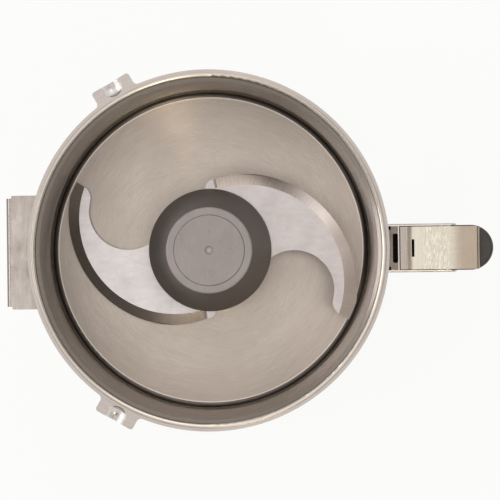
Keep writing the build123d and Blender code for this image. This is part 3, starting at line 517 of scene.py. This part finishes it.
def moulded(name, fresh, worn, rough, grain, gloss=0.5, side=None, dimple=False):
    """Moulded plastic or rubber with a fine grain, slight flow marks and a little wear.

    side gives darker fresh and worn colours for steep faces: painted shade. dimple paints shade on the lip of
    a dimple on the Z axis and a highlight in its middle, and adds dark flecks.
    """
    g = Graph(bpy.data.materials.new(name))
    place = g.place()
    speck = g.noise(place, scale=1500, detail=4, roughness=0.6)
    cloud = g.noise(place, scale=45, detail=3)
    scuff = g.noise(g.scaled(place, 900, 160, 500), detail=5)
    wear = g.stretch(g.share(cloud, scuff, 0.6), 0.4, 0.68)
    base = g.mix(wear, fresh, worn)
    if side:
        # Darker copies of the colours on steep faces: painted shade
        base = g.mix(g.stretch(g.facing(), 0.35, 0.85, smooth=True), g.mix(wear, *side), base)
    if dimple:
        r = g.radius(*g.split(place)[:2])
        # Painted shade on the dimple's lip, and a painted highlight in its middle
        base = g.over(base, g.between(r, DIMPLE_LIP_INSIDE, DIMPLE_LIP_OUTSIDE), 0.55, (0.24, 0.215, 0.205))
        base = g.over(base, g.stretch(r, *DIMPLE_MIDDLE), 0.6, (0.60, 0.56, 0.55))
        flecks = g.times(g.stretch(g.noise(place, scale=1100, detail=3), 0.58, 0.64),
                         g.stretch(g.noise(place, scale=95, detail=3), 0.56, 0.64))
        base = g.over(base, flecks, 0.5, (0.22, 0.20, 0.19))
    g.set(
        Specular_IOR_Level=gloss,
        Base_Color=base,
        Roughness=g.stretch(g.share(speck, cloud), 0.35, 0.65, rough - 0.05, rough + 0.06),
        Normal=g.bump(speck, grain, 0.00005),
    )
    return g.owner


bowl = round_brushed("bowl_steel", light=(0.54, 0.478, 0.425), dark=(0.455, 0.398, 0.35),
                     rough=0.30, spread=0.04, anisotropy=0.75, lines=0.06, dress=bowl_painted_light_and_shade)
ring = round_brushed("ring_steel", light=(0.49, 0.45, 0.42), dark=(0.415, 0.38, 0.355),
                     rough=0.26, spread=0.05, anisotropy=0.4, lines=0.08, dress=lug_glint_and_roughness)
shaft = round_brushed("shaft_steel", light=(0.72, 0.70, 0.68), dark=(0.60, 0.58, 0.56),
                      rough=0.22, spread=0.05, anisotropy=0.3, lines=0.10)
brass = round_brushed("bush_brass", light=(0.62, 0.47, 0.22), dark=(0.50, 0.36, 0.15),
                      rough=0.28, spread=0.05, anisotropy=0.2, lines=0.08)
upper_steel = blade_steel("upper_blade_steel", UPPER_EDGE, UPPER_HEEL, ROTOR_TURN,
                          dull=(0.465, 0.425, 0.417), bright=(0.545, 0.503, 0.495),
                          polish_and_glint=((0, 0.30), (26, 0.44), (48, 1.0), (78, 0.20)))
lower_steel = blade_steel("lower_blade_steel", LOWER_EDGE, LOWER_HEEL, ROTOR_TURN + 180,
                          dull=(0.56, 0.525, 0.515), bright=(0.66, 0.625, 0.615),
                          polish_and_glint=((-8, 0.62), (10, 0.38), (60, 0.46), (100, 0.30)))
cap = moulded("cap_plastic", HUB_FRESH, HUB_WORN, rough=0.55, grain=0.06, gloss=0.25, dimple=True)
# The hub's steep sides take darker copies of its colours: painted shade
hub = moulded("hub_plastic", HUB_FRESH, HUB_WORN, rough=0.55, grain=0.06, gloss=0.25,
              side=((0.235, 0.205, 0.19), (0.27, 0.24, 0.225)))
grip = moulded("grip_plastic", (0.060, 0.052, 0.047), (0.085, 0.075, 0.068), rough=0.46, grain=0.12)
rubber = moulded("seal_rubber", (0.018, 0.018, 0.018), (0.03, 0.03, 0.03), rough=0.6, grain=0.1)

finishes = (
    (bowl, ("bowl_shell",)),
    (ring, ("rim_ring", "base_ring", "chimney_tube")),
    (shaft, ("lower_bearing", "upper_bearing", "bearing_spacer", "bearing_circlip", "spindle", "drive_dog",
             "dog_pin", "blade_clamp_ring", "blade_carrier", "blade_spacer", "blade_screws", "lever_pin",
             "lever_spring", "grip_screws")),
    (rubber, ("lip_seal", "hub_seal")),
    (upper_steel, ("upper_blade",)),
    (lower_steel, ("lower_blade",)),
    (hub, ("rotor_hub",)),
    (cap, ("hub_cap",)),
    (brass, ("drive_bush",)),
    (helper_steel(), ("helper_handle",)),
    (bracket_steel(), ("handle_bracket",)),
    (lever_steel(), ("latch_lever",)),
    (strap_steel(), ("handle_strap",)),
    (grip, ("grip_inner", "grip_outer")),
)
for material, names in finishes:
    for name in names:
        mesh = nodes[name].data
        mesh.materials.clear()
        mesh.materials.append(material)
        for face in mesh.polygons:
            face.material_index = 0


# ---- Weld beads -------------------------------------------------------------------------------------

def weld_steel():
    """Bare weld metal: pale ripples with straw-coloured heat tints."""
    g = Graph(bpy.data.materials.new("weld_steel"))
    place = g.place()
    cloud = g.noise(place, scale=420, detail=4)
    tint = g.noise(place, scale=150, detail=2)
    bare = g.mix(g.stretch(cloud, 0.35, 0.65), (0.42, 0.375, 0.33), (0.58, 0.545, 0.51))
    g.set(
        Metallic=1.0,
        Base_Color=g.mix(g.stretch(tint, 0.52, 0.68), bare, (0.36, 0.30, 0.235)),
        Roughness=g.stretch(cloud, 0.3, 0.7, 0.26, 0.42),
        Normal=g.bump(cloud, 0.15, 0.00004),
    )
    return g.owner


def tube(name, points, sizes, sides, closed, metal):
    """A tube along points, with a ring of its own size at each: closed into a loop, or capped at its ends."""
    count = len(points)
    bm = bmesh.new()
    rings = []
    side = None
    for index, point in enumerate(points):
        before = points[index - 1] if index or closed else point
        after = points[(index + 1) % count] if index + 1 < count or closed else point
        run = (after - before).normalized()
        side = side - run * side.dot(run) if side else run.orthogonal()
        side.normalize()
        up = side.cross(run)
        spokes = [(cos(turn), sin(turn)) for turn in (2 * pi * corner / sides for corner in range(sides))]
        rings.append([bm.verts.new(point + (side * c + up * s) * sizes[index]) for c, s in spokes])
    for index in range(count if closed else count - 1):
        ring, following = rings[index], rings[(index + 1) % count]
        for corner in range(sides):
            other = (corner + 1) % sides
            bm.faces.new((ring[corner], ring[other], following[other], following[corner]))
    if not closed:
        bm.faces.new(list(reversed(rings[0])))
        bm.faces.new(rings[-1])
    bmesh.ops.recalc_face_normals(bm, faces=bm.faces)
    mesh = bpy.data.meshes.new(name)
    bm.to_mesh(mesh)
    bm.free()
    for face in mesh.polygons:
        face.use_smooth = True
    mesh.materials.append(metal)
    piece = bpy.data.objects.new(name, mesh)
    bpy.context.scene.collection.objects.link(piece)
    return piece


def evenly(points, step, closed):
    """The given points and, between them, points about a step apart."""
    if closed:
        points = points + [points[0]]
    result = [points[0]]
    for start, end in zip(points, points[1:]):
        parts = max(1, round((end - start).length / step))
        result += [start.lerp(end, part / parts) for part in range(1, parts + 1)]
    return result[:-1] if closed else result


def weld_bead(name, path, size, closed=False):
    """A rippled bead of weld metal along a path of points, riding on the bowl."""
    points = evenly([Vector(point) for point in path], BEAD_STEP, closed)
    end_size, growth = BEAD_TAPER
    sizes = []
    for index in range(len(points)):
        ripple = BEAD_RIPPLE * abs(sin(pi * index * BEAD_STEP / BEAD_PITCH))
        drift = BEAD_DRIFT * sin(index * BEAD_DRIFT_TURN)
        from_end = min(index, len(points) - 1 - index)
        taper = 1.0 if closed else min(1.0, end_size + growth * from_end)
        sizes.append(size * (1 + ripple + drift) * taper)
    bead = tube(name, points, sizes, BEAD_SIDES, closed, weld_metal)
    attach(bead, "bowl")


def arc(radius, height, start, end, pieces=48):
    """Points on a level arc about the bowl's axis, between two directions in degrees."""
    turns = [radians(start + (end - start) * piece / pieces) for piece in range(pieces + 1)]
    return [(radius * cos(turn), radius * sin(turn), height) for turn in turns]


def up_the_wall(side, heights):
    """Points up the bowl's outside at a distance from the middle plane of the handle."""
    path = []
    for height in heights:
        step_out = min(max((height - NECK_FOOT) / NECK_STEP, 0.0), 1.0)
        reach = WALL_OUTSIDE + step_out * NECK_STEP
        path.append(((reach ** 2 - side ** 2) ** 0.5, side, height))
    return path


weld_metal = weld_steel()
on_wall = WALL_OUTSIDE + BEAD_OFF_WALL
helper_turn = degrees(asin(HELPER_HALF / WALL_OUTSIDE))
weld_bead("weld_helper_top", arc(on_wall, HELPER_TOP, 180 - helper_turn, 180 + helper_turn), size=0.0013)
weld_bead("weld_helper_under", arc(on_wall, HELPER_UNDER, 180 - helper_turn, 180 + helper_turn), size=0.0014)
for label, sign in (("north", 1), ("south", -1)):
    weld_bead("weld_cheek_" + label, up_the_wall(sign * CHEEK_SIDE, CHEEK_HEIGHTS), size=0.0013)
    weld_bead("weld_foot_" + label, up_the_wall(sign * FOOT_SIDE, FOOT_HEIGHTS), size=0.0013)
    weld_bead("weld_strap_" + label, [(x, sign * STRAP_SIDE, STRAP_UNDER) for x in STRAP_RUN], size=0.0009)
weld_bead("weld_foot_low", arc(on_wall, FOOT_UNDER, -5, 5, pieces=8), size=0.0013)
# The arcs of closed beads stop one piece short of a full turn
weld_bead("weld_base_outer", arc(*BASE_OUTER, 0, 355, pieces=71), size=0.0014, closed=True)
weld_bead("weld_base_inner", arc(*BASE_INNER, 0, 355, pieces=71), size=0.0013, closed=True)
weld_bead("weld_chimney_foot", arc(*CHIMNEY_FOOT, 0, 354, pieces=59), size=0.0012, closed=True)
weld_bead("weld_rim_under", arc(*RIM_UNDER, 10, 350, pieces=170), size=0.0009)


# ---- Lever spring -----------------------------------------------------------------------------------

def spring_leg(turn, y, height):
    """A leg of the spring: from its coil, in a direction about the pin, out to a height."""
    root = Vector((PIN[0] + COIL_RADIUS * cos(radians(turn)), y, PIN[1] + COIL_RADIUS * sin(radians(turn))))
    reach = abs(height - root.z) / tan(radians(LEG_SLOPE))
    tip = Vector((root.x + reach, y, height))
    return [root.lerp(tip, step / LEG_STEPS) for step in range(LEG_STEPS + 1)]


def spring_path():
    """The spring's wire: its leg under the lever, the coil round the pin, and its leg on the strap."""
    first = 90 + LEG_SLOPE
    whole = 360 * COIL_TURNS
    coil = []
    for step in range(1, COIL_STEPS):
        share = step / COIL_STEPS
        turn = radians(first + whole * share)
        coil.append(Vector((PIN[0] + COIL_RADIUS * cos(turn), COIL_HALF * (1 - 2 * share),
                            PIN[1] + COIL_RADIUS * sin(turn))))
    upper = spring_leg(first, COIL_HALF, LEVER_UNDER - WIRE)
    lower = spring_leg(first + whole, -COIL_HALF, STRAP_TOP + WIRE)
    return upper[::-1] + coil + lower


wire = spring_path()
spring = tube("lever_spring_wire", wire, [WIRE] * len(wire), WIRE_SIDES, False, shaft)
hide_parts("lever_spring")
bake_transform(spring)


# ---- Stage, light, camera ---------------------------------------------------------------------------

def pale_floor():
    """Wide pale floor that keeps the object's shadow and shows nearly white to the camera."""
    half = 12.0
    corners = [(-half, -half, 0), (half, -half, 0), (half, half, 0), (-half, half, 0)]
    mesh = bpy.data.meshes.new("studio_floor")
    mesh.from_pydata(corners, [], [(0, 1, 2, 3)])
    floor = bpy.data.objects.new("studio_floor", mesh)
    bpy.context.scene.collection.objects.link(floor)
    g = Graph(bpy.data.materials.new("studio_floor"))
    g.set(Base_Color=(0.88, 0.88, 0.87, 1), Roughness=0.9, Specular_IOR_Level=0.0)
    ray = g.add("ShaderNodeLightPath").outputs
    glow = g.add("ShaderNodeEmission")
    glow.inputs["Color"].default_value = (1.0, 1.0, 0.99, 1)
    seen = g.times(g.math("MAXIMUM", ray["Is Camera Ray"], ray["Is Glossy Ray"]), 0.92)
    g.feed(g.tree.nodes["Material Output"].inputs["Surface"],
           g.mix_shader(seen, g.shader.outputs[0], glow.outputs[0]))
    mesh.materials.append(g.owner)


def surroundings():
    """Even fill from all round, and a backdrop that metal mirrors low down and the camera sees white."""
    world = bpy.data.worlds.new("studio")
    bpy.context.scene.world = world
    g = Graph(world)
    fill = g.tree.nodes["Background"]
    fill.inputs["Color"].default_value = (1.0, 0.985, 0.965, 1)
    fill.inputs["Strength"].default_value = 0.28
    white = g.add("ShaderNodeBackground")
    white.inputs["Color"].default_value = (0.985, 0.985, 0.97, 1)
    ray = g.add("ShaderNodeLightPath").outputs
    height = g.split(g.add("ShaderNodeTexCoord").outputs["Generated"])[2]
    mirrored = g.times(g.stretch(height, 0.50, 0.35, 0.0, 0.75), ray["Is Glossy Ray"])
    shown = g.math("MAXIMUM", mirrored, ray["Is Camera Ray"])
    g.feed(g.tree.nodes["World Output"].inputs["Surface"],
           g.mix_shader(shown, fill.outputs[0], white.outputs[0]))


def soft_lamp(name, place, aim, size, power, tint):
    """An area lamp, size being its width and depth in metres."""
    data = bpy.data.lights.new(name, "AREA")
    data.shape = "RECTANGLE"
    data.size, data.size_y = size
    data.energy = power
    data.color = tint
    lamp = bpy.data.objects.new(name, data)
    lamp.location = place
    lamp.visible_camera = False
    lamp.rotation_mode = "QUATERNION"
    lamp.rotation_quaternion = (Vector(aim) - Vector(place)).to_track_quat("-Z", "Y")
    bpy.context.scene.collection.objects.link(lamp)


def lamps():
    """A wide lamp above, one from the west, one from the north and a narrow warm one from the south."""
    soft_lamp("lamp_over", place=(-0.75, 0.55, 3.0), aim=(-0.75, 0.55, 0.0), size=(3.1, 2.9), power=29,
              tint=(1.0, 0.97, 0.955))
    soft_lamp("lamp_west", place=(-2.6, 0.1, 1.35), aim=(0, 0, 0.1), size=(1.6, 1.0), power=24,
              tint=(1.0, 0.965, 0.98))
    soft_lamp("lamp_north", place=(0.3, 2.0, 2.4), aim=(0, 0, 0.1), size=(2.0, 1.6), power=15,
              tint=(1.0, 0.97, 0.94))
    soft_lamp("lamp_south", place=(0.33, -1.4, 2.3), aim=(0, 0, 0.05), size=(0.16, 0.9), power=8.5,
              tint=(1.0, 0.91, 0.69))


def camera():
    """Straight above, a little off the bowl's axis, as far as the picture's perspective asks."""
    data = bpy.data.cameras.new("camera")
    data.lens = 218.4
    data.sensor_width = 36.0
    data.shift_x = 0.008
    data.shift_y = -0.016
    data.clip_start = 0.05
    data.clip_end = 60
    eye = bpy.data.objects.new("camera", data)
    eye.location = (0.02491, 0.0053, 2.172)
    eye.rotation_euler = (0, 0, radians(-0.68))
    bpy.context.scene.collection.objects.link(eye)
    bpy.context.scene.camera = eye


pale_floor()
surroundings()
lamps()
camera()
bpy.context.scene.view_settings.view_transform = "Standard"
